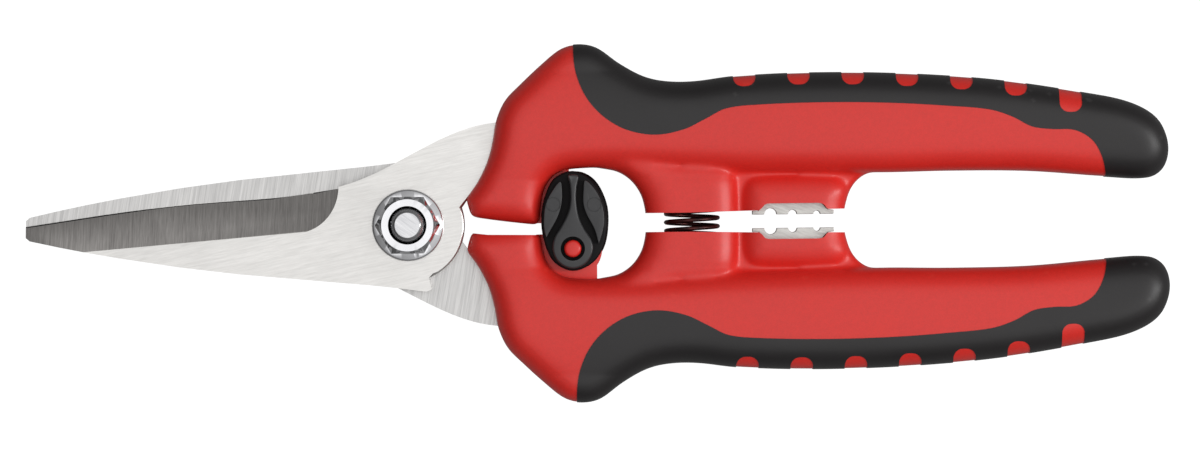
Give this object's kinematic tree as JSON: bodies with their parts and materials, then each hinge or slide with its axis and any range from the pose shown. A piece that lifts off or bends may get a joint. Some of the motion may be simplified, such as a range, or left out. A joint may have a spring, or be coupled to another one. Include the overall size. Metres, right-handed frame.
{
  "type": "pruning shears",
  "caption": "Hand pruning shears with two pivoting steel blades, red and black handles, a coil return spring, crimping jaws and a swinging lock lever.",
  "frame": {"origin": "where the pivot axis meets the resting plane, at the centre of the flat underside of the bolt head", "axes": "+X from the pivot along the closed handles, +Y towards the upper handle, +Z along the pivot axis towards the nut"},
  "size_m": [0.2028, 0.0636, 0.0168],
  "materials": {
    "blade_steel": "satin flats, ground bevel",
    "jaw_steel": "satin, stamped",
    "fastener_steel": "bright zinc",
    "nut_chrome": "polished plating",
    "spring_steel": "dark oiled wire",
    "red_nylon": "fine grained moulding",
    "black_grip": "fine matte grain",
    "grey_nylon": "semi-matte moulding"
  },
  "bodies": {
    "lower_half": {"back_blade": "blade_steel", "lower_handle": "red_nylon", "lower_grip": "black_grip", "lower_crimp_jaw": "jaw_steel", "pivot_bolt": "fastener_steel", "pivot_washer": "fastener_steel", "pivot_nut": "nut_chrome", "lock_pin": "red_nylon", "return_spring": "spring_steel"},
    "upper_half": {"front_blade": "blade_steel", "upper_handle": "red_nylon", "upper_grip": "black_grip", "upper_crimp_jaw": "jaw_steel"},
    "lever": {"lock_lever": "grey_nylon"}
  },
  "joints": [
    {"name": "blade_pivot", "type": "hinge", "parent": "lower_half", "child": "upper_half", "pos_m": [0, 0, 0.0075], "axis": [0, 0, 1], "range_deg": [0, 24], "deforming": ["return_spring"]},
    {"name": "lock_swing", "type": "hinge", "parent": "lower_half", "child": "lever", "pos_m": [0.02915, -0.00445, 0.0075], "axis": [0, 0, -1], "range_deg": [0, 56]}
  ]
}
